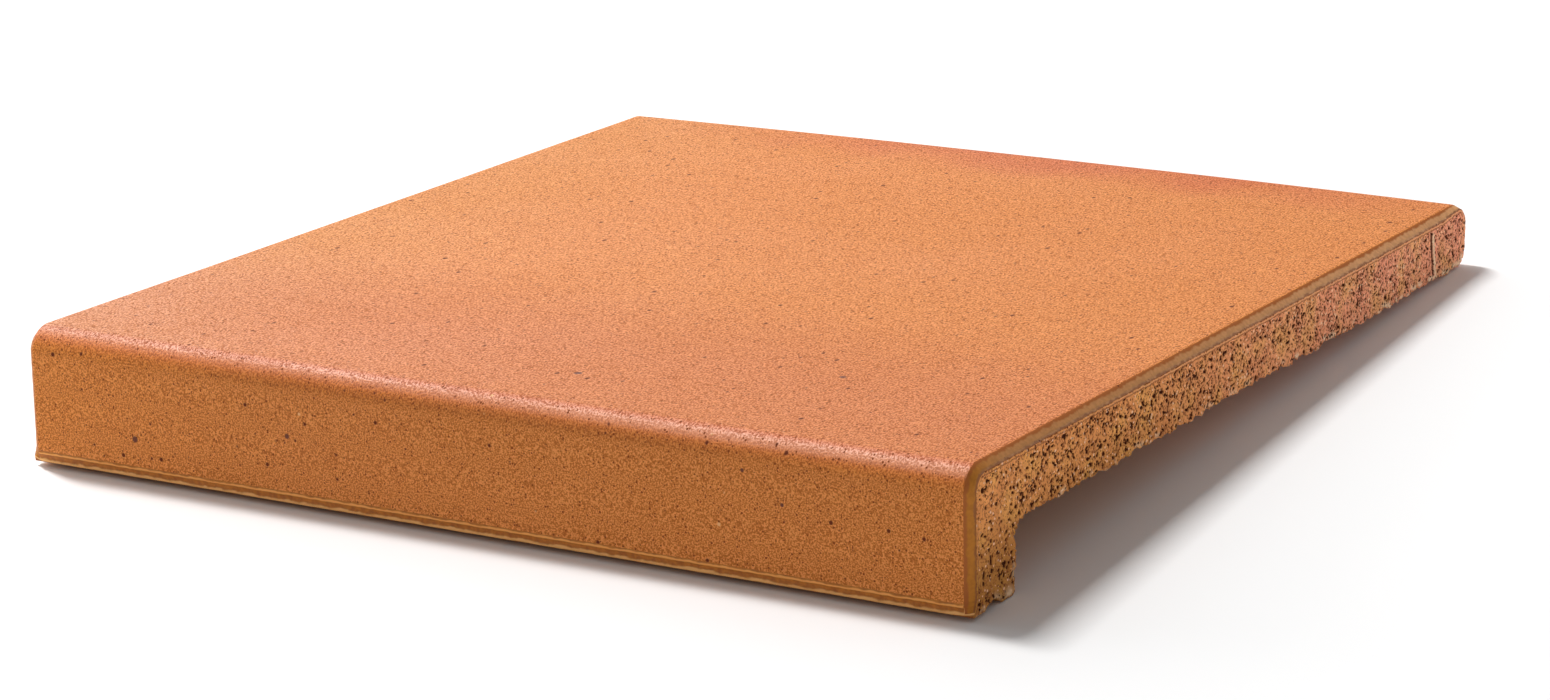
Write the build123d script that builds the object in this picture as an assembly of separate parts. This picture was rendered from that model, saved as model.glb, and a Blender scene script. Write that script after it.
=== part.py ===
from build123d import *

from math import atan2, degrees
import os

# Window sill tile, one piece of extruded and fired clay.
# A flat slab covers the sill, and a nose hangs down along its front edge, clear of the wall.
# The section is drawn in millimetres, with Y running back from the front face and Z up from
# the nose's foot. It runs along X, from one cut end to the other.

# Slab and nose
tile_width = 300.0
tile_depth = 322.5
slab_thickness = 19.5
nose_height = 39.0
nose_depth = 23.5

# Edges of the section
front_radius = 7.5
back_radius = 6.0
haunch_radius = 5.0
edge_break = 1.0
toe_height = 3.7
toe_setback = 1.3

# Drip groove under the nose
groove_width = 9.0
groove_depth = 1.8

# Bevel along the cut ends
end_bevel = 2.4

# Height of the slab's underside, and the middle of the nose's foot
underside = nose_height - slab_thickness
groove_centre = (toe_setback + nose_depth - edge_break) / 2


def rounded(profile, corner, radius):
    """The profile with the vertex nearest to a corner rounded off."""
    vertex = profile.vertices().sort_by_distance(corner)[0]
    return fillet(vertex, radius)


def tile_section():
    """Side view of the tile, with its rounded edges, set-back toe and drip groove."""
    front_top = (0, nose_height)
    back_top = (tile_depth, nose_height)
    inner_corner = (nose_depth, underside)
    outline = Polyline(
        (toe_setback, 0),
        (0, toe_height),
        front_top,
        back_top,
        (tile_depth, underside + edge_break),
        (tile_depth - edge_break, underside),
        inner_corner,
        (nose_depth, edge_break),
        (nose_depth - edge_break, 0),
        close=True,
    )
    profile = make_face(outline)
    profile = rounded(profile, front_top, front_radius)
    profile = rounded(profile, inner_corner, haunch_radius)

    # The groove is a flat arc, as wide and as deep as its chord and its rise.
    groove_radius = ((groove_width / 2) ** 2 + groove_depth ** 2) / (2 * groove_depth)
    groove = Pos(groove_centre, groove_depth - groove_radius) * Circle(groove_radius)
    return profile - groove


def sill_tile():
    """The section run along the tile's width, with its two ends bevelled."""
    body = extrude(Plane.YZ * tile_section(), tile_width / 2, both=True)

    # The bevel follows the smooth run of edges from the toe, up the front and over the top.
    end_edges = body.faces().filter_by(Axis.X).edges()
    top_edges = end_edges.group_by(Axis.Z)[-1]
    body = chamfer(top_edges, end_bevel)

    # The back edge is rounded after that, so the bevel runs out there.
    back_edge = body.edges().filter_by(Axis.X).group_by(Axis.Z)[-1].sort_by(Axis.Y)[-1]
    return fillet(back_edge, back_radius)


def at_rest(body):
    """The tile laid down: tipped back onto its nose and back edge, box centred on the origin."""
    rest_tilt = atan2(underside, tile_depth - nose_depth)
    tipped = Rot(X=-degrees(rest_tilt)) * body
    box = tipped.bounding_box()
    return Pos(-box.center().X, -box.center().Y, -box.min.Z) * tipped


tile = at_rest(sill_tile())
os.makedirs("parts", exist_ok=True)
export_step(tile, "parts/sill_tile.step")
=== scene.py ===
import math
from functools import lru_cache

import bpy
import numpy as np
from mathutils import Matrix, Vector, kdtree, noise
from mathutils.geometry import delaunay_2d_cdt


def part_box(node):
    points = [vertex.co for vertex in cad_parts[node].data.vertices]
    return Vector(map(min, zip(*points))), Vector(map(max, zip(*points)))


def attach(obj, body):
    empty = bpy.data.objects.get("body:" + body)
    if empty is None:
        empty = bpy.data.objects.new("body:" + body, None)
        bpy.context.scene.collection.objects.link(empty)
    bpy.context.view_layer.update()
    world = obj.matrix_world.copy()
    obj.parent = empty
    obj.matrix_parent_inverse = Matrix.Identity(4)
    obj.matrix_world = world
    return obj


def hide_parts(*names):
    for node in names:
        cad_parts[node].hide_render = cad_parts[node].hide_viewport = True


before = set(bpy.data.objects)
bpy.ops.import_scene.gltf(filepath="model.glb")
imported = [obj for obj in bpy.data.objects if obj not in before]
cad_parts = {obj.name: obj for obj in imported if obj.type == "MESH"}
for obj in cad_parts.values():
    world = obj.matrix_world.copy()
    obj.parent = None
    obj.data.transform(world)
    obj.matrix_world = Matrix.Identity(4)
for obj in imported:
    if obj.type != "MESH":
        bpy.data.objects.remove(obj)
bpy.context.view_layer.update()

MM = 0.001
NODE = "sill_tile"

# The tile's section, in millimetres, as in its solid.
# Y runs back from the front face, and Z up from the nose's foot.
DEPTH = 322.5
SLAB = 19.5
NOSE_HEIGHT = 39.0
NOSE_DEPTH = 23.5
FRONT_RADIUS = 7.5
BACK_RADIUS = 6.0
HAUNCH_RADIUS = 5.0
EDGE_BREAK = 1.0
TOE_HEIGHT = 3.7
TOE_SETBACK = 1.3
GROOVE_WIDTH = 9.0
GROOVE_DEPTH = 1.8
END_BEVEL = 2.4
UNDERSIDE = NOSE_HEIGHT - SLAB
GROOVE_CENTRE = (TOE_SETBACK + NOSE_DEPTH - EDGE_BREAK) / 2

node_low, node_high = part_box(NODE)
HALF_WIDTH = (node_high.x - node_low.x) / 2 / MM
REST_TILT = math.atan2(UNDERSIDE, DEPTH - NOSE_DEPTH)

# Kinds of surface, which are also the numbers of their materials
SKIN, BEVEL, TOE, RAW = 0, 1, 2, 3

# Rows of points across the width: millimetres in from an end and how finely the section is divided there,
# and the step between the rows in the middle
END_ROWS = [
    (0.0, 4), (0.8, 4), (1.6, 4), (2.1, 4), (2.4, 4), (2.7, 4), (3.2, 4),
    (4.4, 2), (6.4, 2), (9.5, 1),
]
MIDDLE_STEP = 7.0

# How far the chords that give the section's normals reach to each side
NORMAL_REACH = 2.5

# The end bevel: the softening of its arris, the least share that counts as bevel,
# and how much it narrows over a length before the back
BEVEL_ROUNDING = 0.25
BEVEL_SHOWS = 0.3
BEVEL_NARROWING = 0.5
NARROWING_LENGTH = 20.0

# The slight lift that firing left in the slab: at the back edge, and in the middle of that edge
BACK_LIFT = 0.25
BACK_CROWN = 0.9

# Beads along the toe and the fine line between them: height, rise and half width
TOE_BEADS = [(2.95, 0.35, 0.30), (1.0, 0.75, 0.50), (2.0, 0.10, 0.20)]

# Relief as (wavelength, height) pairs
SKIN_WAVES = [(90.0, 0.12)]
TOE_WAVES = [(9.0, 0.10), (2.5, 0.05)]
RAW_WAVES = [(6.5, 0.30), (2.4, 0.18)]
TORN_WAVES = [(8.0, 0.30), (2.6, 0.26)]
NICK_WAVES = [(3.5, 1.0), (1.4, 0.7)]

# The rough underside: its scale across the width, its lowest and highest relief,
# the sizes of its lumps and crumbs, and how far in from an end they fade
RAW_ACROSS = 0.35
RAW_LOWEST = -1.2
RAW_HIGHEST = 0.8
LUMP_SIZE = 6.5
CRUMB_SIZE = 1.8
RAGGED_FADE = 4.0

# Torn ends, in millimetres from the bevel's foot: rows of points, where the tearing starts and is full,
# the groove along the foot, and the distance that stands for anything farther
EDGE_ROWS = [0.16, 0.38, 0.6, 0.9, 1.25]
TEAR_START = 0.8
TEAR_FULL = 1.8
FOOT_GROOVE_PLACE = 0.14
FOOT_GROOVE_WIDTH = 0.14
FOOT_GROOVE_DEPTH = 0.25
FAR = 4.0

# A torn end's mean depth, how far its roughness reaches along the sides, and the skin's share of it
TORN_DEPTH = 0.30
TORN_REACH = 6.0
SKIN_TEAR = 0.25

# Points between the pores of an end: steps of the grid on each end, how many steps a point may stray,
# its least distances from drawn points and from the outline, and the size under which points are merged
RIGHT_GRID = (0.95, 0.85)
LEFT_GRID = (1.15, 1.05)
GRID_STRAY = 0.36
DRAWN_GAP = 0.32
OUTLINE_GAP = 0.14
MERGE_SIZE = 0.11

# Pores of the torn clay: how many in a square centimetre, and their least and most radius
PORES = [(30.0, 0.30, 0.46), (32.0, 0.50, 0.76), (1.2, 0.76, 1.05)]
FINE_RADIUS = 0.46

# How the pores vary: height against depth, lean in degrees, how many the left end has for one on the right,
# how much smaller they get towards the back, and the size of the drifts that they gather in
PORE_STRETCH = (0.55, 0.95)
PORE_LEAN = 30
LEFT_SHARE = 0.6
BACK_SHRINK = 0.10
DRIFT_SIZE = 13.0

# Seeds of the random draws
PORE_SEED = 11
RING_SEED = 23
GRID_SEED = 7

# Pits and slits that stand out on the right end: depth, height, radius, height against depth and lean
RIGHT_PITS = [
    (59.8, 36.3, 0.95, 1.3, 30), (27.6, 23.8, 0.5, 4.2, -24), (10.6, 12.6, 0.75, 2.2, 5),
    (6.9, 9.7, 0.75, 1.8, -15), (44.0, 22.1, 0.6, 3.0, 5), (33.0, 20.5, 0.7, 1.6, 10),
]

# A scar down the right end: its ends, the rows of points along it, its groove, painted dark as shade, and the
# lip behind, painted pale as its lit edge
SCAR_TOP = np.array((295.3, 36.1))
SCAR_FOOT = np.array((297.7, 21.2))
SCAR_ROWS = [-0.6, -0.25, 0.05, 0.35, 0.7, 1.05, 1.4, 1.75]
SCAR_STEP = 0.6
SCAR_WIDTH = 0.28
SCAR_DEPTH = 0.55
LIP_OFFSET = 1.05
LIP_WIDTH = 0.6
LIP_RISE = 0.25

# A pale chip at the nose's heel on the right end
CHIP = np.array((20.3, 1.0))
CHIP_REACH = np.array((2.2, 1.5))

# Wear of the back's corners at the ends, at the foot and where the bevel runs out:
# place, depth, reach round the corner, and how far in from the end it fades
WORN_CORNERS = [
    ((DEPTH, UNDERSIDE), 2.2, 7.0, 15.0),
    ((DEPTH - 1.2, NOSE_HEIGHT - END_BEVEL), 0.7, 5.0, 2.5),
]


# The section

def straight(start, end):
    """A line as a function of a share from 0 to 1."""
    return lambda t: (start[0] + (end[0] - start[0]) * t, start[1] + (end[1] - start[1]) * t)


def rounded(centre, radius, start, end):
    """An arc between two angles in degrees, as a function of a share from 0 to 1."""
    def point(t):
        angle = math.radians(start + (end - start) * t)
        return centre[0] + radius * math.cos(angle), centre[1] + radius * math.sin(angle)
    return point


def section_runs():
    """The runs round the section, from the toe up the front, over the top and back along the underside."""
    groove_radius = ((GROOVE_WIDTH / 2) ** 2 + GROOVE_DEPTH ** 2) / (2 * GROOVE_DEPTH)
    groove_middle = (GROOVE_CENTRE, GROOVE_DEPTH - groove_radius)
    groove_angle = math.degrees(math.asin(GROOVE_WIDTH / 2 / groove_radius))
    front_middle = (FRONT_RADIUS, NOSE_HEIGHT - FRONT_RADIUS)
    back_middle = (DEPTH - BACK_RADIUS, NOSE_HEIGHT - BACK_RADIUS)
    haunch_middle = (NOSE_DEPTH + HAUNCH_RADIUS, UNDERSIDE - HAUNCH_RADIUS)
    back_foot = (DEPTH, UNDERSIDE + EDGE_BREAK)
    back_heel = (DEPTH - EDGE_BREAK, UNDERSIDE)
    nose_foot = (NOSE_DEPTH, EDGE_BREAK)
    nose_heel = (NOSE_DEPTH - EDGE_BREAK, 0)
    groove_back = (GROOVE_CENTRE + GROOVE_WIDTH / 2, 0)
    groove_front = (GROOVE_CENTRE - GROOVE_WIDTH / 2, 0)
    return [
        (straight((0, TOE_HEIGHT), (0, front_middle[1])), 12, SKIN),
        (rounded(front_middle, FRONT_RADIUS, 180, 90), 16, SKIN),
        (straight((FRONT_RADIUS, NOSE_HEIGHT), (back_middle[0], NOSE_HEIGHT)), 64, SKIN),
        (rounded(back_middle, BACK_RADIUS, 90, 0), 8, SKIN),
        (straight((DEPTH, back_middle[1]), back_foot), 8, SKIN),
        (straight(back_foot, back_heel), 2, RAW),
        (straight(back_heel, (haunch_middle[0], UNDERSIDE)), 112, RAW),
        (rounded(haunch_middle, HAUNCH_RADIUS, 90, 180), 6, RAW),
        (straight((NOSE_DEPTH, haunch_middle[1]), nose_foot), 8, RAW),
        (straight(nose_foot, nose_heel), 2, RAW),
        (straight(nose_heel, groove_back), 3, RAW),
        (rounded(groove_middle, groove_radius, 90 - groove_angle, 90 + groove_angle), 8, RAW),
        (straight(groove_front, (TOE_SETBACK, 0)), 3, RAW),
        (straight((TOE_SETBACK, 0), (0, TOE_HEIGHT)), 10, TOE),
    ]


@lru_cache(maxsize=None)
def section_loop(level):
    """Points, outward normals, kinds and bevel shares round the section, at a level of fineness."""
    points, kinds = [], []
    for run, count, kind in section_runs():
        points += [run(i / (count * level)) for i in range(count * level)]
        kinds += [kind] * (count * level)
    points, kinds = np.array(points), np.array(kinds)
    steps = np.linalg.norm(np.roll(points, -1, 0) - points, axis=1)
    along = np.concatenate([[0], np.cumsum(steps)[:-1]])
    return points, chord_normals(points, along, steps.sum()), kinds, bevel_shares(points, kinds)


def chord_normals(points, along, total):
    """Outward normals of a closed loop, each square to the chord that reaches a little to both sides."""
    def at(places):
        return np.stack([np.interp(places, along, points[:, k], period=total) for k in (0, 1)], 1)

    chords = at(along + NORMAL_REACH) - at(along - NORMAL_REACH)
    normals = np.stack([-chords[:, 1], chords[:, 0]], 1)
    return normals / np.linalg.norm(normals, axis=1, keepdims=True)


def bevel_shares(points, kinds):
    """How much of the end bevel each point has: it runs out down the toe and over the back."""
    y, z = points[:, 0], points[:, 1]
    narrowing = 1 - BEVEL_NARROWING * ease(y, DEPTH - NARROWING_LENGTH, DEPTH - BACK_RADIUS / 2)
    over_back = narrowing * np.where(y > DEPTH - BACK_RADIUS, 1 - (NOSE_HEIGHT - z) / END_BEVEL, 1)
    return np.where(kinds == RAW, 0, np.clip(np.minimum(z / TOE_HEIGHT, over_back), 0, 1))


# Relief, in millimetres

def bumps(place, *octaves):
    """Smooth noise at a place, summed over (wavelength, height) pairs."""
    return sum(height * noise.noise(place / wavelength) for wavelength, height in octaves)


def lobes(place, wavelength):
    """Rounded lumps with sharp creases between them, from 0 in a crease to about 1."""
    return min(1.0, 2.2 * abs(noise.noise(place / wavelength)))


def ease(value, low, high):
    """A share from 0 at low to 1 at high, smooth at both ends."""
    share = np.clip((value - low) / (high - low), 0, 1)
    return share * share * (3 - 2 * share)


def lift(x, y):
    """How far firing raised the slab."""
    share = y / DEPTH
    return share * BACK_LIFT + share ** 2 * BACK_CROWN * (1 - (x / HALF_WIDTH) ** 2)


def skin_relief(x, y, z):
    """Slow undulation of the pressed skin."""
    return bumps(Vector((x, y, z)), *SKIN_WAVES)


def toe_relief(x, z, inset):
    """Beads along the toe, uneven along the tile and lower at its ends."""
    wander = bumps(Vector((x, 0.0, 3.0)), *TOE_WAVES)
    beads = sum(rise * math.exp(-((z - height - wander) / width) ** 2) for height, rise, width in TOE_BEADS)
    return beads * float(ease(inset, -2.0, 6.0))


def raw_relief(x, y, z, inset):
    """Rough drag of the underside, ragged near the ends, flatter at the nose's foot, and how pale it is."""
    drag = Vector((RAW_ACROSS * x, y, z))
    above_foot = ease(z, 1.5, 5.0)
    near_end = math.exp(-inset / RAGGED_FADE)
    rough = 0.05 + bumps(drag, *RAW_WAVES)
    lump = lobes(drag + Vector((31.0, 0, 0)), LUMP_SIZE)
    crumb = lobes(drag + Vector((0, 17.0, 0)), CRUMB_SIZE)
    ragged = 1.2 * (lump - 0.45) + 1.0 * (crumb - 0.4)
    out = (0.15 + 0.85 * above_foot) * (rough + near_end * ragged)
    pale = 0.45 * near_end * float(ease(lump + 0.4 * crumb, 0.95, 1.35))
    return max(RAW_LOWEST, min(RAW_HIGHEST, out)), pale


def torn_rough(y, z, side):
    """Roughness of a torn end in from its plane."""
    place = Vector((y, z, 40.0 * side))
    return max(0.0, TORN_DEPTH + bumps(place, *TORN_WAVES))


def scar_frame():
    """The scar's length, its direction down the end and the direction across it towards the back."""
    length = np.linalg.norm(SCAR_FOOT - SCAR_TOP)
    run = (SCAR_FOOT - SCAR_TOP) / length
    return length, run, np.array((-run[1], run[0]))


def scar_points():
    """Points along the scar, close enough to draw its groove and its lip."""
    length, run, across = scar_frame()
    return np.array([
        SCAR_TOP + run * along + across * offset
        for along in np.arange(-1.0, length + 1.0, SCAR_STEP) for offset in SCAR_ROWS
    ])


def scar_relief(points):
    """The scar's depth, how hollow its groove is, painted dark as shade, and how pale its lip is, painted as
    a lit edge.
    """
    length, run, across = scar_frame()
    along, offset = (points - SCAR_TOP) @ run, (points - SCAR_TOP) @ across
    shown = ease(along, -1.0, 0.5) * ease(along, length + 1.0, length - 0.5)
    groove = shown * np.exp(-(offset / SCAR_WIDTH) ** 2)
    lip = shown * ease(along, 0.5, 3.0) * np.exp(-((offset - LIP_OFFSET) / LIP_WIDTH) ** 2)
    return SCAR_DEPTH * groove - LIP_RISE * lip, groove, lip


# Pores of a torn end

def scatter_pores(loop, side):
    """Pores as rows of depth, height, radius, stretch and lean, fewer on the nose and gathered in drifts."""
    rng = np.random.default_rng(PORE_SEED + side)
    low, high = loop.min(0), loop.max(0)
    area = np.prod(high - low) / 100
    share = 1.0 if side > 0 else LEFT_SHARE
    pores = list(RIGHT_PITS) if side > 0 else []
    for per_area, least, most in PORES:
        count = int(per_area * area * share)
        places = rng.uniform(low, high, (count, 2))
        sizes = least + (most - least) * rng.uniform(0, 1, count) ** 1.6
        sizes *= 1 - BACK_SHRINK * ease(places[:, 0], 90, 220)
        stretches = rng.uniform(*PORE_STRETCH, count)
        leans = rng.uniform(-PORE_LEAN, PORE_LEAN, count)
        luck = rng.uniform(0, 1, count)
        inside = inside_loop(places, loop)
        for (y, z), size, stretch, lean, chance, kept in zip(places, sizes, stretches, leans, luck, inside):
            drift = 0.78 + 0.6 * noise.noise(Vector((y, z, 40.0 * side)) / DRIFT_SIZE)
            if kept and chance < drift * float(ease(y, -25.0, 60.0)):
                pores.append((y, z, size, stretch, lean))
    return np.array(pores)


def pore_frame(pore):
    """The matrix that takes a step from a pore's middle to its own unit circle."""
    _, _, radius, stretch, lean = pore
    c, s = math.cos(math.radians(lean)), math.sin(math.radians(lean))
    return np.array([[c / radius, s / radius], [-s / (radius * stretch), c / (radius * stretch)]])


def pore_points(pores, side):
    """Points that draw each pore: its middle, and one or two uneven rings out to its rim."""
    rng = np.random.default_rng(RING_SEED + side)
    points = []
    for pore in pores:
        back = np.linalg.inv(pore_frame(pore))
        rings = [(6, 1.0)] if pore[2] < FINE_RADIUS else [(6, 0.6), (9, 1.0)]
        points.append(pore[:2])
        for count, reach in rings:
            angles = (np.arange(count) + rng.uniform(0, 1)) * 2 * math.pi / count
            reaches = reach * rng.uniform(0.85, 1.15, count)
            ring = np.stack([np.cos(angles) * reaches, np.sin(angles) * reaches], 1)
            points.extend(pore[:2] + ring @ back.T)
    return np.array(points)


def pore_relief(points, pores):
    """How deep each point lies in the pores, and how hollow it is from 0 to 1, which the shader darkens as
    painted shade.
    """
    depth, hollow = np.zeros(len(points)), np.zeros(len(points))
    tree = point_tree(points)
    for pore in pores:
        y, z, radius, stretch, _ = pore
        near = [i for _, i, _ in tree.find_range((y, z, 0), radius * max(1.0, stretch) * 1.2)]
        if not near:
            continue
        reach = (points[near] - pore[:2]) @ pore_frame(pore).T
        inside = np.clip(1 - (reach ** 2).sum(1), 0, 1)
        deepest = 0.25 + 1.1 * min(radius, 1.0)
        depth[near] = np.maximum(depth[near], deepest * inside)
        hollow[near] = np.maximum(hollow[near], inside)
    return depth, hollow


# The tile's mesh

class TileMesh:
    """Points, what belongs to them, and faces, gathered row by row."""

    LAYERS = ("hollow", "pale", "across")

    def __init__(self):
        self.points = []
        self.layers = {name: [] for name in self.LAYERS}
        self.count = 0
        self.faces = []
        self.materials = []

    def add_points(self, points, **layers):
        """Adds points with a value for each layer, and returns their numbers."""
        self.points.append(points)
        for name in self.LAYERS:
            self.layers[name].append(np.broadcast_to(layers[name], len(points)))
        self.count += len(points)
        return np.arange(self.count - len(points), self.count)

    def add_face(self, corners, material):
        """Adds a face between numbered points, with its material's number."""
        self.faces.append([int(c) for c in corners])
        self.materials.append(material)


def bevel_inset(inset):
    """How far the bevel has cut back the section at a distance from the end, with a softened arris."""
    rise = END_BEVEL - inset
    return (rise + math.sqrt(rise ** 2 + BEVEL_ROUNDING ** 2)) / 2


def nicks(x, y, z, inset):
    """Small unevenness of the bevel's foot, stronger on the back edge."""
    strength = 0.40 if y > DEPTH - 1 else 0.10
    return strength * math.exp(-inset / 0.6) * (bumps(Vector((x, y, z)), *NICK_WAVES) - 0.05)


def corner_wear(y, z, inset):
    """How far the back's corners are rubbed round near an end."""
    painted_highlight = 0.0
    for corner, depth, reach, fade in WORN_CORNERS:
        apart = math.hypot(corner[0] - y, corner[1] - z)
        painted_highlight += depth * max(0.0, 1 - apart / reach) ** 2 * math.exp(-inset / fade)
    return painted_highlight


def line_mark(kind, z, bevel, inset):
    """The distance that draws lines on a surface: in from the end on a bevel, down from the skin on a toe."""
    if inset <= END_BEVEL and bevel > BEVEL_SHOWS:
        return inset
    if kind == TOE:
        return TOE_HEIGHT - z
    return 0.0 if kind == SKIN and inset > END_BEVEL else FAR


def surface_relief(kind, x, y, z, inset):
    """How far a kind of surface stands out at a place, and how pale it is there."""
    if kind == SKIN:
        return skin_relief(x, y, z) + nicks(x, y, z, inset), 0.0
    if kind == TOE:
        return toe_relief(x, z, inset), 0.0
    return raw_relief(x, y, z, inset)


def side_tear(kind, bevel, inset):
    """How much of a torn end's roughness a side takes up near that end, where no bevel lies between them."""
    share = SKIN_TEAR if kind == SKIN else 1.0
    return share * max(0.0, 1 - bevel / BEVEL_SHOWS) * max(0.0, 1 - inset / TORN_REACH)


def side_row(mesh, x, inset, level):
    """Adds one row of points round the section, and returns its loop and point numbers."""
    side = 1 if x > 0 else -1
    points, normals, kinds, bevels = section_loop(level)
    loop, xs, pale, across = [], [], [], []
    for (y, z), normal, kind, bevel in zip(points, normals, kinds, bevels):
        out, tint = surface_relief(kind, x, y, z, inset)
        out -= corner_wear(y, z, inset) + bevel * bevel_inset(inset)
        loop.append(np.array((y, z)) + normal * out)
        xs.append(x - side * side_tear(kind, bevel, inset) * torn_rough(y, z, side))
        pale.append(tint)
        across.append(line_mark(kind, z, bevel, inset))
    loop = np.array(loop)
    row = np.column_stack([xs, loop])
    return loop, mesh.add_points(row, hollow=0.0, pale=np.array(pale), across=np.array(across))


def inside_loop(points, loop):
    """Which points lie inside a closed loop, by counting crossings."""
    inside = np.zeros(len(points), bool)
    for a, b in zip(loop, np.roll(loop, -1, 0)):
        if a[1] == b[1]:
            continue
        crosses = (a[1] > points[:, 1]) != (b[1] > points[:, 1])
        at = a[0] + (points[:, 1] - a[1]) / (b[1] - a[1]) * (b[0] - a[0])
        inside ^= crosses & (points[:, 0] < at)
    return inside


def point_tree(points):
    """A search tree of points in the section's plane."""
    tree = kdtree.KDTree(len(points))
    for i, p in enumerate(points):
        tree.insert((p[0], p[1], 0), i)
    tree.balance()
    return tree


def distances(points, others):
    """Distance of each point from the nearest of some others."""
    tree = point_tree(others)
    return np.array([tree.find((p[0], p[1], 0))[2] for p in points])


def end_points(loop, pores, side):
    """Points that fill an end: rows along the bevel's foot, the scar, the pores and a loose grid between."""
    rng = np.random.default_rng(GRID_SEED + side)
    step = np.array(RIGHT_GRID if side > 0 else LEFT_GRID)
    low, high = loop.min(0), loop.max(0)
    _, normals, _, bevels = section_loop(END_ROWS[0][1])
    bevelled = bevels > BEVEL_SHOWS
    drawn = [loop[bevelled] - normals[bevelled] * reach for reach in EDGE_ROWS]
    if side > 0:
        drawn.append(scar_points())
    drawn = np.concatenate(drawn + [pore_points(pores, side)])
    columns = [np.arange(low[k], high[k], step[k]) for k in (0, 1)]
    grid = np.stack(np.meshgrid(*columns), -1).reshape(-1, 2)
    grid = grid + rng.uniform(-GRID_STRAY, GRID_STRAY, grid.shape) * step
    grid = grid[distances(grid, drawn) > DRAWN_GAP]
    points = np.concatenate([drawn, grid])
    _, first = np.unique(np.round(points / MERGE_SIZE), axis=0, return_index=True)
    points = points[np.sort(first)]
    points = points[inside_loop(points, loop)]
    return points[distances(points, loop) > OUTLINE_GAP]


def crumb_patches(points, from_foot):
    """How pale the torn clay is: in patches along its lower edge, more of them towards the back."""
    lumps = np.array([lobes(Vector((y, z, 60.0)), 4.5) for y, z in points])
    to_back = ease(points[:, 0], 150, 300)
    return ease(from_foot, 2.2, 0.4) * ease(lumps + 0.45 * to_back, 0.85, 1.15)


def end_relief(points, loop, pores, side):
    """How deep the torn clay of an end lies at some points, with its layers of values."""
    _, _, kinds, bevels = section_loop(END_ROWS[0][1])
    from_bevel = distances(points, loop[bevels > BEVEL_SHOWS])
    from_foot = distances(points, loop[kinds == RAW])
    torn = ease(from_bevel, TEAR_START, TEAR_FULL)
    pore_depth, hollow = pore_relief(points, pores)
    rough = np.array([torn_rough(y, z, side) for y, z in points])
    groove = FOOT_GROOVE_DEPTH * np.exp(-((from_bevel - FOOT_GROOVE_PLACE) / FOOT_GROOVE_WIDTH) ** 2)
    depth = torn * (rough + pore_depth) + groove
    pale = crumb_patches(points, from_foot)
    if side > 0:
        scar_depth, scar_hollow, scar_lit_lip = scar_relief(points)
        chip = np.exp(-(((points - CHIP) / CHIP_REACH) ** 2).sum(1))
        depth = depth * (1 - scar_lit_lip) + scar_depth
        hollow = np.maximum(hollow * (1 - scar_lit_lip), 0.8 * scar_hollow)
        pale = np.maximum.reduce([pale, scar_lit_lip, chip])
    layers = {"hollow": torn * hollow, "pale": pale, "across": np.minimum(from_bevel, FAR)}
    return np.maximum(depth, 0), layers


def add_end(mesh, loop, ids, side):
    """Fills one end with a torn surface that shares the row at the end's edge."""
    pores = scatter_pores(loop, side)
    filling = end_points(loop, pores, side)
    depth, layers = end_relief(filling, loop, pores, side)
    new_ids = mesh.add_points(np.column_stack([side * (HALF_WIDTH - depth), filling]), **layers)
    every_id = np.concatenate([ids, new_ids])
    flat = np.concatenate([loop, filling])
    outline = list(range(len(loop)))
    places = [Vector(p) for p in flat]
    _, _, triangles, sources, _, _ = delaunay_2d_cdt(places, [], [outline], 1, 1e-9, True)
    corners = np.array([[sources[c][0] for c in triangle] for triangle in triangles])
    kept = corners[inside_loop(flat[corners].mean(1), loop)]
    for triangle in every_id[kept if side > 0 else kept[:, ::-1]]:
        mesh.add_face(triangle, RAW)


def add_band(mesh, a, b, level_a, level_b, on_bevel):
    """Faces between two rows round the section, stitched where one is divided twice as finely."""
    coarse = min(level_a, level_b)
    fine_a, fine_b = level_a // coarse, level_b // coarse
    _, _, kinds, bevels = section_loop(coarse)
    for i in range(len(kinds)):
        material = BEVEL if on_bevel and bevels[i] > BEVEL_SHOWS else kinds[i]
        a0, a1 = a[i * fine_a], a[(i + 1) * fine_a % len(a)]
        b0, b1 = b[i * fine_b], b[(i + 1) * fine_b % len(b)]
        if fine_a == fine_b:
            mesh.add_face((a0, a1, b1, b0), material)
        elif fine_a > fine_b:
            middle = a[i * fine_a + 1]
            mesh.add_face((a0, middle, b0), material)
            mesh.add_face((middle, b1, b0), material)
            mesh.add_face((middle, a1, b1), material)
        else:
            middle = b[i * fine_b + 1]
            mesh.add_face((a0, middle, b0), material)
            mesh.add_face((a0, a1, middle), material)
            mesh.add_face((a1, b1, middle), material)


def row_places():
    """(x, distance from the nearer end, level) of every row, from the right end to the left."""
    start = END_ROWS[-1][0]
    steps = math.ceil((2 * HALF_WIDTH - 2 * start) / MIDDLE_STEP)
    right = [(HALF_WIDTH - inset, inset, level) for inset, level in END_ROWS]
    middle = []
    for i in range(1, steps):
        x = HALF_WIDTH - start - (2 * HALF_WIDTH - 2 * start) * i / steps
        middle.append((x, HALF_WIDTH - abs(x), 1))
    left = [(-x, inset, level) for x, inset, level in reversed(right)]
    return right + middle + left


def tile_mesh():
    """The whole tile as one closed mesh, in section coordinates and millimetres."""
    mesh = TileMesh()
    last = None
    for x, inset, level in row_places():
        loop, ids = side_row(mesh, x, inset, level)
        if last:
            add_band(mesh, last[0], ids, last[1], level, max(inset, last[2]) <= END_BEVEL)
        if inset == 0:
            add_end(mesh, loop, ids, 1 if x > 0 else -1)
        last = (ids, level, inset)
    return mesh


def rest_place():
    """The move from the section's coordinates to the stored pose, tipped back on the nose and back edge."""
    turn = Matrix.Rotation(-REST_TILT, 4, "X")
    points, *_ = section_loop(4)
    turned = [turn @ Vector((0, y * MM, z * MM)) for y, z in points]
    shift = Vector((0, node_low.y - min(p.y for p in turned), node_low.z - min(p.z for p in turned)))
    return Matrix.Translation(shift) @ turn


REST = rest_place()


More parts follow.
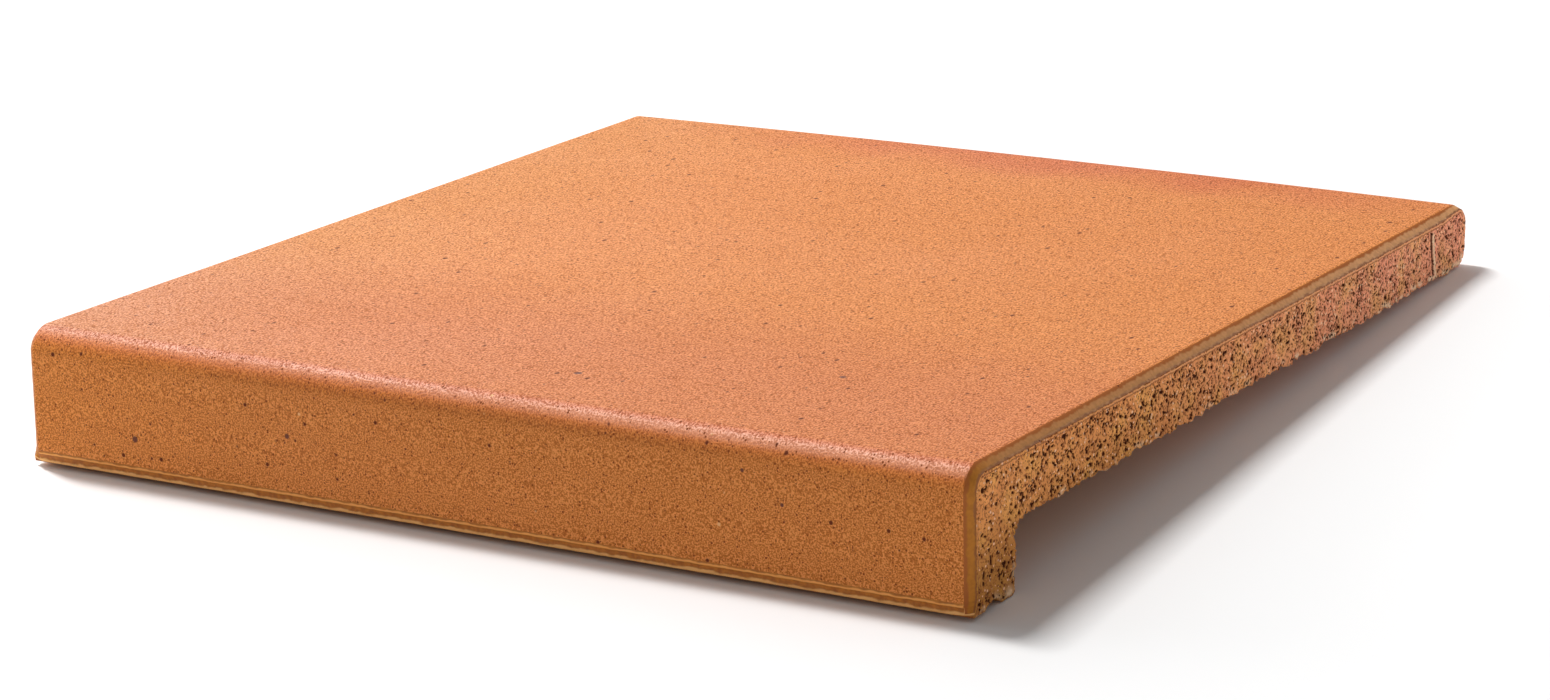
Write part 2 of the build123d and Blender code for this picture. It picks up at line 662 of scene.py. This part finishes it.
def stored(x, y, z):
    """A place of the tile in the stored pose, in metres."""
    return REST @ (Vector((x, y, z)) * MM)


# Materials

class ClayNodes:
    """A node material in the making, with short calls for the nodes that the clays share."""

    def __init__(self, name):
        self.material = bpy.data.materials.new(name)
        self.material.use_nodes = True
        self.nodes = self.material.node_tree.nodes
        self.links = self.material.node_tree.links
        self.shader = next(n for n in self.nodes if n.type == "BSDF_PRINCIPLED")
        self.place = self.nodes.new("ShaderNodeTexCoord").outputs["Object"]

    def feed(self, socket, value):
        """Links a socket to its source, or sets its value."""
        if isinstance(value, bpy.types.NodeSocket):
            self.links.new(value, socket)
        elif socket.type == "RGBA":
            socket.default_value = (*value, 1)
        else:
            socket.default_value = value

    def drawn_out(self, depth):
        """Places for a texture that is drawn out along the tile's depth."""
        mapping = self.nodes.new("ShaderNodeMapping")
        mapping.inputs["Scale"].default_value = (1, 1 / depth, 1)
        self.feed(mapping.inputs["Vector"], self.place)
        return mapping.outputs[0]

    def noise(self, scale, detail=2.0, depth=1.0):
        """Smooth noise of a scale per metre."""
        made = self.nodes.new("ShaderNodeTexNoise")
        made.inputs["Scale"].default_value = scale
        made.inputs["Detail"].default_value = detail
        self.feed(made.inputs["Vector"], self.drawn_out(depth))
        return made.outputs[0]

    def calc(self, operation, a, b):
        """One calculation with two values."""
        made = self.nodes.new("ShaderNodeMath")
        made.operation = operation
        self.feed(made.inputs[0], a)
        self.feed(made.inputs[1], b)
        return made.outputs[0]

    def span(self, source, low, high, to_low=0.0, to_high=1.0):
        """A value taken from one range to another, held at its ends."""
        made = self.nodes.new("ShaderNodeMapRange")
        made.interpolation_type = "SMOOTHSTEP"
        for socket, value in zip(made.inputs, (source, low, high, to_low, to_high)):
            self.feed(socket, value)
        return made.outputs[0]

    def ramp(self, source, *stops):
        """Colours at places along a value."""
        made = self.nodes.new("ShaderNodeValToRGB")
        elements = made.color_ramp.elements
        while len(elements) < len(stops):
            elements.new(0.5)
        for element, (place, colour) in zip(elements, stops):
            element.position = place
            element.color = (*colour, 1)
        self.feed(made.inputs[0], source)
        return made.outputs[0]

    def mix(self, share, a, b, blend="MIX"):
        """A colour mixed from two by a share."""
        made = self.nodes.new("ShaderNodeMix")
        made.data_type = "RGBA"
        made.blend_type = blend
        for socket, value in ((made.inputs[0], share), (made.inputs[6], a), (made.inputs[7], b)):
            self.feed(socket, value)
        return made.outputs[2]

    def specks(self, scale, share, most, depth=1.0):
        """A mask of round specks in a share of the cells of a scale per metre, up to a radius in cells."""
        soft = 0.05
        cells = self.nodes.new("ShaderNodeTexVoronoi")
        cells.inputs["Scale"].default_value = scale
        self.feed(cells.inputs["Vector"], self.drawn_out(depth))
        luck = self.nodes.new("ShaderNodeSeparateColor")
        self.feed(luck.inputs[0], cells.outputs["Color"])
        radius = self.calc("MULTIPLY", self.calc("SUBTRACT", luck.outputs[0], 1 - share), most / share)
        return self.span(self.calc("SUBTRACT", radius, cells.outputs["Distance"]), -soft, soft)

    def spot(self, place, radius):
        """A mask of one spot at a place of the tile."""
        apart = self.nodes.new("ShaderNodeVectorMath")
        apart.operation = "DISTANCE"
        self.feed(apart.inputs[0], self.place)
        apart.inputs[1].default_value = stored(*place)
        return self.span(apart.outputs["Value"], radius * 1.2 * MM, radius * 0.7 * MM)

    def axis(self, number):
        """One of the three coordinates."""
        made = self.nodes.new("ShaderNodeSeparateXYZ")
        self.feed(made.inputs[0], self.place)
        return made.outputs[number]

    def layer(self, name):
        """A layer of values that the mesh carries."""
        made = self.nodes.new("ShaderNodeAttribute")
        made.attribute_name = name
        return made.outputs["Fac"]

    def line(self, value, centre, half_width):
        """A soft mask along a line where a value passes a centre."""
        apart = self.calc("ABSOLUTE", self.calc("SUBTRACT", value, centre), 0)
        return self.span(apart, half_width, half_width * 0.3)

    def finish(self, colour, roughness, height, distance):
        """Sets the shader's colour, roughness and bump, with the bump's height in metres."""
        self.feed(self.shader.inputs["Base Color"], colour)
        self.feed(self.shader.inputs["Roughness"], roughness)
        bump = self.nodes.new("ShaderNodeBump")
        bump.inputs["Distance"].default_value = distance
        self.feed(bump.inputs["Height"], height)
        self.feed(self.shader.inputs["Normal"], bump.outputs[0])
        return self.material


# Spots that stand out on the skin: place on the tile and radius, in millimetres
DARK_SPOTS = [
    ((-112.3, 0, 11.5), 0.95), ((-59.7, 0, 19.4), 0.75), ((14.9, 30.7, 39), 1.2), ((79.7, 59.6, 39), 1.0),
    ((84.1, 0, 29.7), 0.55), ((95.7, 0, 22.1), 0.55),
]
PALE_SPOTS = [((76.9, 0, 14.3), 0.5), ((-55.3, 0, 26.2), 0.45)]

# How far the skin's grain and specks are drawn out along the depth
SKIN_DRAW = 1.7

# Colours of the skin
SKIN_CLAY = (0.65, 0.188, 0.0140)
SKIN_DARK = (0.45, 0.112, 0.006)
SKIN_LIGHT = (0.84, 0.29, 0.040)
SPECK = (0.15, 0.026, 0.002)
FINE_SPECK = (0.24, 0.050, 0.004)
GRAIN = (0.82, 0.42, 0.14)
# Painted highlight: a pale line along the front's rounding
ROUNDING_HIGHLIGHT = (0.90, 0.42, 0.25)

# Tints that parts of the skin are multiplied by: some are painted light, namely sheen on the left of the top,
# light on the left of the front, the colour of the rounding's highlight and shade below the rounding
DRIFT_TINT = (0.97, 1.0, 1.25)
LEFT_TOP_SHEEN = (0.97, 1.05, 1.15)
LEFT_FRONT_LIGHT = (1.08, 1.08, 0.85)
FRONT_TOP_TINT = (0.91, 0.81, 0.98)
ROUNDING_HIGHLIGHT_TINT = (1.05, 0.87, 1.2)
FLASH_TINT = (0.90, 0.63, 0.62)
BROW_SHADE = (0.86, 0.82, 0.66)

# Colours of the end bevels: along the depth, and their shades
BEVEL_ALONG = [(0.0, (0.54, 0.19, 0.013)), (0.01, (0.58, 0.25, 0.075)), (0.9, (0.74, 0.36, 0.15))]
BEVEL_SHADE = (0.72, 0.66, 0.6)
BURNT_ARRIS = (0.42, 0.115, 0.018)
BEVEL_LOW_EDGE = (0.34, 0.11, 0.024)

# Colours of the toe
TOE_CLAY = [(0.32, (0.38, 0.105, 0.005)), (0.68, (0.58, 0.185, 0.012))]
UPPER_BEAD = (0.90, 0.40, 0.085)
LOWER_BEAD = (0.95, 0.50, 0.16)
# Painted shade along the toe's foot, where it meets the floor
TOE_FOOT_SHADE = (0.22, 0.06, 0.012)

# Colours of the torn clay: by patches on the nose and at the back, and its details
OCHRE = [(0.36, (0.89, 0.35, 0.105)), (0.5, (0.95, 0.39, 0.12)), (0.64, (0.98, 0.44, 0.12))]
PINK = [(0.36, (0.98, 0.38, 0.23)), (0.5, (0.98, 0.41, 0.225)), (0.64, (0.95, 0.45, 0.19))]
RAW_SHADE = (0.50, 0.17, 0.06)
# Painted shade: the torn end turns darker and olive towards the nose's foot
NOSE_FOOT_SHADE = (0.64, 0.66, 0.48)
DARK_CRUMB = (0.32, 0.090, 0.028)
PALE_CRUMB = (1.0, 0.62, 0.38)
# Painted shade for pores too fine for the mesh
FINE_PORE_SHADE = (0.15, 0.034, 0.009)
# Pale clay of the chip and crumbs, also painted on the scar's lip as its lit edge
PALE_CLAY_AND_LIT_EDGE = (1.0, 0.74, 0.48)
# Painted shade for the hollows of the pores and the scar's groove
PORE_SHADE = (0.07, 0.016, 0.007)
FOOT_LIP = (0.88, 0.40, 0.17)
FOOT_SHADE = (0.32, 0.10, 0.035)
FOOT_GROOVE = (0.22, 0.055, 0.012)


def skin_material():
    """Satin unglazed skin of the top, the front and the back."""
    clay = ClayNodes("clay_skin")
    grain = clay.noise(2200, detail=1, depth=SKIN_DRAW)
    drift = clay.noise(15, detail=3)
    rounding = clay.line(clay.axis(1), node_low.y + 0.0055, 0.004)
    colour = clay.ramp(grain, (0.36, SKIN_DARK), (0.5, SKIN_CLAY), (0.64, SKIN_LIGHT))
    colour = clay.mix(clay.span(drift, 0.35, 0.65, 0, 0.6), colour, DRIFT_TINT, "MULTIPLY")
    colour = skin_parts(clay, colour, rounding)
    fine_specks = clay.specks(1300, 0.35, 0.42, depth=SKIN_DRAW)
    colour = clay.mix(fine_specks, colour, FINE_SPECK)
    dots = clay.specks(300, 0.28, 0.19, depth=SKIN_DRAW)
    colour = clay.mix(dots, colour, SPECK)
    colour = clay.mix(clay.specks(190, 0.14, 0.09), colour, GRAIN)
    for place, radius in DARK_SPOTS:
        colour = clay.mix(clay.spot(place, radius), colour, SPECK)
    for place, radius in PALE_SPOTS:
        colour = clay.mix(clay.spot(place, radius), colour, GRAIN)
    satin = clay.calc("ADD", clay.span(drift, 0.3, 0.7, 0.46, 0.54), clay.span(grain, 0.56, 0.38, 0, 0.3))
    roughness = clay.calc("SUBTRACT", satin, clay.calc("MULTIPLY", rounding, 0.06))
    roughness = clay.calc("MAXIMUM", roughness, clay.calc("MAXIMUM", fine_specks, dots))
    return clay.finish(colour, roughness, grain, 0.00014)


def skin_parts(clay, colour, rounding):
    """The skin's colour with the kiln's flash along the back, a darker, redder front of the top, and painted
    light: sheen on the left of the top, light on the left of the front, a highlight along the front's
    rounding and shade below it.
    """
    on_top = clay.span(clay.axis(1), node_low.y + 0.004, node_low.y + 0.008)
    left_part = clay.span(clay.axis(0), -0.05, -0.15)
    left_top = clay.calc("MULTIPLY", left_part, on_top)
    left_front = clay.calc("SUBTRACT", left_part, left_top)
    # Painted sheen on the left of the top, and painted light on the left of the front
    colour = clay.mix(left_top, colour, LEFT_TOP_SHEEN, "MULTIPLY")
    colour = clay.mix(left_front, colour, LEFT_FRONT_LIGHT, "MULTIPLY")
    front_top = clay.calc("MULTIPLY", on_top, clay.span(clay.axis(1), node_low.y + 0.14, node_low.y + 0.05))
    colour = clay.mix(front_top, colour, FRONT_TOP_TINT, "MULTIPLY")
    # Painted highlight colour: the rounding is tinted pinker where its highlight falls
    colour = clay.mix(rounding, colour, ROUNDING_HIGHLIGHT_TINT, "MULTIPLY")
    # Painted highlight along the front's rounding, stronger towards the right
    highlight_strength = clay.span(clay.axis(0), -0.12, 0.12, 0.08, 0.30)
    painted_highlight = clay.calc("MULTIPLY", clay.line(clay.axis(1), node_low.y + 0.0050, 0.0020), highlight_strength)
    colour = clay.mix(painted_highlight, colour, ROUNDING_HIGHLIGHT)
    colour = clay.mix(back_flash(clay), colour, FLASH_TINT, "MULTIPLY")
    # Painted shade below the front's rounding
    brow_shade = clay.calc("SUBTRACT", brow_shade_line(clay), on_top)
    return clay.mix(brow_shade, colour, BROW_SHADE, "MULTIPLY")


def back_flash(clay):
    """A mask of the red flash that the kiln left along the middle and the right of the back edge."""
    wander = clay.span(clay.noise(35), 0.2, 0.8, -0.008, 0.008)
    depth = clay.calc("ADD", clay.axis(1), wander)
    near_back = clay.span(depth, node_high.y - 0.036, node_high.y - 0.006)
    from_left = clay.span(clay.axis(0), -0.15, 0.0)
    from_right = clay.span(clay.axis(0), 0.14, 0.07, 0.3, 1)
    return clay.calc("MULTIPLY", near_back, clay.calc("MULTIPLY", from_left, from_right))


def brow_shade_line(clay):
    """A mask of painted shade: the darker line below the front's rounding, in the middle of the width."""
    line = clay.line(clay.axis(2), stored(0, 0, 34.0).z, 0.0018)
    from_middle = clay.calc("ABSOLUTE", clay.axis(0), 0)
    return clay.calc("MULTIPLY", line, clay.span(from_middle, 0.12, 0.05, 0, 0.9))


def bevel_material():
    """Smooth pale cut of the end bevels, browner on the front, with a burnt arris and a dark lower edge."""
    clay = ClayNodes("clay_bevel")
    grain = clay.noise(700, detail=3)
    colour = clay.ramp(clay.span(clay.axis(1), node_low.y, node_high.y), *BEVEL_ALONG)
    colour = clay.mix(clay.span(grain, 0.35, 0.65, 0.5, 0), colour, BEVEL_SHADE, "MULTIPLY")
    wander = clay.span(clay.noise(420), 0.2, 0.8, -0.3, 0.3)
    inset = clay.calc("ADD", clay.layer("across"), wander)
    colour = clay.mix(clay.span(inset, 1.45, 2.0), colour, BURNT_ARRIS)
    colour = clay.mix(clay.span(inset, 0.5, 0.12, 0, 0.9), colour, BEVEL_LOW_EDGE)
    colour = clay.mix(clay.specks(420, 0.3, 0.18), colour, SPECK)
    clay.shader.inputs["Specular IOR Level"].default_value = 0.3
    return clay.finish(colour, 0.6, grain, 0.00010)


def toe_material():
    """Cut toe below the front face: two pale beads, an olive strip between them and painted shade at the
    foot.
    """
    clay = ClayNodes("clay_toe")
    grain = clay.noise(700, detail=3)
    colour = clay.ramp(grain, *TOE_CLAY)
    wander = clay.span(clay.noise(260), 0.2, 0.8, -0.2, 0.2)
    drop = clay.calc("ADD", clay.layer("across"), wander)
    colour = clay.mix(clay.line(drop, 0.75, 0.45), colour, UPPER_BEAD)
    colour = clay.mix(clay.line(drop, 2.65, 0.5), colour, LOWER_BEAD)
    # Painted shade at the toe's foot
    colour = clay.mix(clay.span(drop, 3.2, 3.6, 0, 0.8), colour, TOE_FOOT_SHADE)
    return clay.finish(colour, 0.6, grain, 0.00012)


def raw_material():
    """Torn porous clay of the ends, the underside and the nose's inner face."""
    clay = ClayNodes("clay_raw")
    lump = clay.noise(300, detail=4)
    patch = clay.noise(110, detail=3)
    to_back = clay.span(clay.axis(1), node_low.y + 0.05, node_high.y - 0.02)
    colour = clay.mix(to_back, clay.ramp(patch, *OCHRE), clay.ramp(patch, *PINK))
    colour = clay.mix(clay.span(lump, 0.60, 0.34, 0, 0.25), colour, RAW_SHADE)
    # Painted shade: the end darkens and turns olive towards the nose's foot
    low_down = clay.span(clay.axis(2), 0.030, 0.008)
    to_front = clay.span(clay.axis(1), 0, node_low.y + 0.06)
    colour = clay.mix(clay.calc("MULTIPLY", low_down, to_front), colour, NOSE_FOOT_SHADE, "MULTIPLY")
    crumb = clay.noise(1400, detail=2)
    colour = clay.mix(clay.span(crumb, 0.50, 0.37, 0, 0.75), colour, DARK_CRUMB)
    colour = clay.mix(clay.specks(700, 0.45, 0.32), colour, PALE_CRUMB)
    # Painted shade: fine dark pores too small for the mesh
    colour = clay.mix(clay.specks(900, 0.40, 0.40), colour, FINE_PORE_SHADE)
    # Pale clay: the chip and the crumbs, and the scar's lip painted pale as a lit edge
    colour = clay.mix(clay.calc("MULTIPLY", clay.layer("pale"), 0.9), colour, PALE_CLAY_AND_LIT_EDGE)
    # Painted shade in the pores and the scar's groove, darker than their depth alone makes them
    colour = clay.mix(clay.span(clay.layer("hollow"), 0.03, 0.36, 0, 0.96), colour, PORE_SHADE)
    colour = bevel_foot(clay, colour)
    clay.shader.inputs["Specular IOR Level"].default_value = 0.12
    return clay.finish(colour, 0.85, lump, 0.0003)


def bevel_foot(clay, colour):
    """The torn clay's colour with lines along the bevel's foot: a dark groove, a pale lip and its shade."""
    edge = clay.calc("ADD", clay.layer("across"), clay.span(clay.noise(350), 0.2, 0.8, -0.15, 0.15))
    past_nose = clay.span(clay.axis(1), node_low.y + 0.03, node_low.y + 0.12)
    lip = clay.calc("MULTIPLY", clay.line(edge, 0.58, 0.28), past_nose)
    colour = clay.mix(clay.calc("MULTIPLY", lip, 0.8), colour, FOOT_LIP)
    colour = clay.mix(clay.calc("MULTIPLY", clay.line(edge, 1.0, 0.34), 0.75), colour, FOOT_SHADE)
    past_front = clay.span(clay.axis(1), node_low.y + 0.005, node_low.y + 0.015, 0.25, 1)
    groove = clay.calc("MULTIPLY", clay.span(edge, 0.38, 0.16, 0, 0.95), past_front)
    return clay.mix(groove, colour, FOOT_GROOVE)


# The piece

def make_tile():
    """The tile's mesh as an object that stands for the solid."""
    made = tile_mesh()
    points = np.concatenate(made.points)
    points[:, 2] += lift(points[:, 0], points[:, 1])
    turn = np.array(REST)
    points = points * MM @ turn[:3, :3].T + turn[:3, 3]
    data = bpy.data.meshes.new("window_sill_tile")
    data.from_pydata(points.tolist(), [], made.faces)
    data.polygons.foreach_set("material_index", made.materials)
    data.polygons.foreach_set("use_smooth", np.ones(len(made.faces), bool))
    for name, values in made.layers.items():
        layer = data.attributes.new(name, "FLOAT", "POINT")
        layer.data.foreach_set("value", np.concatenate(values))
    for material in (skin_material(), bevel_material(), toe_material(), raw_material()):
        data.materials.append(material)
    data.update()
    tile = bpy.data.objects.new("window_sill_tile", data)
    bpy.context.scene.collection.objects.link(tile)
    return tile


tile = make_tile()
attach(tile, "root")
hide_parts(NODE)


# The stage

def make_floor():
    """A plain pale floor."""
    reach = 4.0
    corners = [(-reach, -reach, 0), (reach, -reach, 0), (reach, reach, 0), (-reach, reach, 0)]
    data = bpy.data.meshes.new("floor")
    data.from_pydata(corners, [], [(0, 1, 2, 3)])
    floor = bpy.data.objects.new("floor", data)
    bpy.context.scene.collection.objects.link(floor)
    material = bpy.data.materials.new("floor_paint")
    material.use_nodes = True
    shader = next(n for n in material.node_tree.nodes if n.type == "BSDF_PRINCIPLED")
    shader.inputs["Base Color"].default_value = (0.97, 0.97, 0.97, 1)
    shader.inputs["Roughness"].default_value = 0.9
    shader.inputs["Specular IOR Level"].default_value = 0.1
    data.materials.append(material)


def add_panel(name, width, height, power, place, target):
    """A flat soft lamp at a place, turned to a target."""
    panel = bpy.data.lights.new(name, "AREA")
    panel.shape = "RECTANGLE"
    panel.size = width
    panel.size_y = height
    panel.energy = power
    holder = bpy.data.objects.new(name, panel)
    holder.location = place
    holder.rotation_mode = "QUATERNION"
    holder.rotation_quaternion = (Vector(place) - Vector(target)).to_track_quat("Z", "Y")
    holder.visible_camera = False
    bpy.context.scene.collection.objects.link(holder)


def make_lights():
    """A key strip high on the left, carried along with the rest tilt, and two low panels."""
    key_place = REST.to_3x3() @ Vector((-1.84, 0.44, 3.50))
    add_panel("key", 0.45, 1.3, 132, key_place, (0, 0, 0))
    add_panel("left_panel", 0.9, 0.3, 1.35, (-0.6, 0.02, 0.26), (0, 0.02, 0.03))
    add_panel("right_panel", 0.3, 0.08, 0.42, (0.55, 0.40, 0.05), (0.15, 0.12, 0.02))


def make_world():
    """An even pale surround that is brighter low down behind on the left, as by a white wall."""
    wall_direction = Vector((-0.836, 0.483, 0.259)).normalized()
    world = bpy.data.worlds.new("surround")
    world.use_nodes = True
    tree = world.node_tree
    facing = tree.nodes.new("ShaderNodeVectorMath")
    facing.operation = "DOT_PRODUCT"
    facing.inputs[1].default_value = wall_direction
    tree.links.new(tree.nodes.new("ShaderNodeTexCoord").outputs["Generated"], facing.inputs[0])
    glow = tree.nodes.new("ShaderNodeMapRange")
    for name, value in (("From Min", 0.70), ("From Max", 1.0), ("To Min", 0.245), ("To Max", 1.9)):
        glow.inputs[name].default_value = value
    tree.links.new(facing.outputs["Value"], glow.inputs["Value"])
    # Seen straight by the camera, the surround is as white as the floor.
    seen = tree.nodes.new("ShaderNodeMath")
    seen.operation = "MAXIMUM"
    tree.links.new(glow.outputs[0], seen.inputs[0])
    tree.links.new(tree.nodes.new("ShaderNodeLightPath").outputs["Is Camera Ray"], seen.inputs[1])
    tree.links.new(seen.outputs[0], tree.nodes["Background"].inputs["Strength"])
    tree.nodes["Background"].inputs["Color"].default_value = (1, 1, 1, 1)
    bpy.context.scene.world = world


def make_camera():
    """The photograph's view of the tile, carried along with the tile's rest tilt."""
    data = bpy.data.cameras.new("camera")
    data.sensor_width = 36
    data.lens = 101.01
    camera = bpy.data.objects.new("camera", data)
    eye = Vector((632.9, -903.3, 344.9)) * MM
    yaw = Matrix.Rotation(math.radians(30.80), 4, "Z")
    pitch = Matrix.Rotation(math.radians(90 - 15.03), 4, "X")
    roll = Matrix.Rotation(math.radians(-0.94), 4, "Z")
    camera.matrix_world = REST @ Matrix.Translation(eye) @ yaw @ pitch @ roll
    bpy.context.scene.collection.objects.link(camera)
    bpy.context.scene.camera = camera


make_floor()
make_lights()
make_world()
make_camera()
bpy.context.scene.view_settings.view_transform = "Standard"
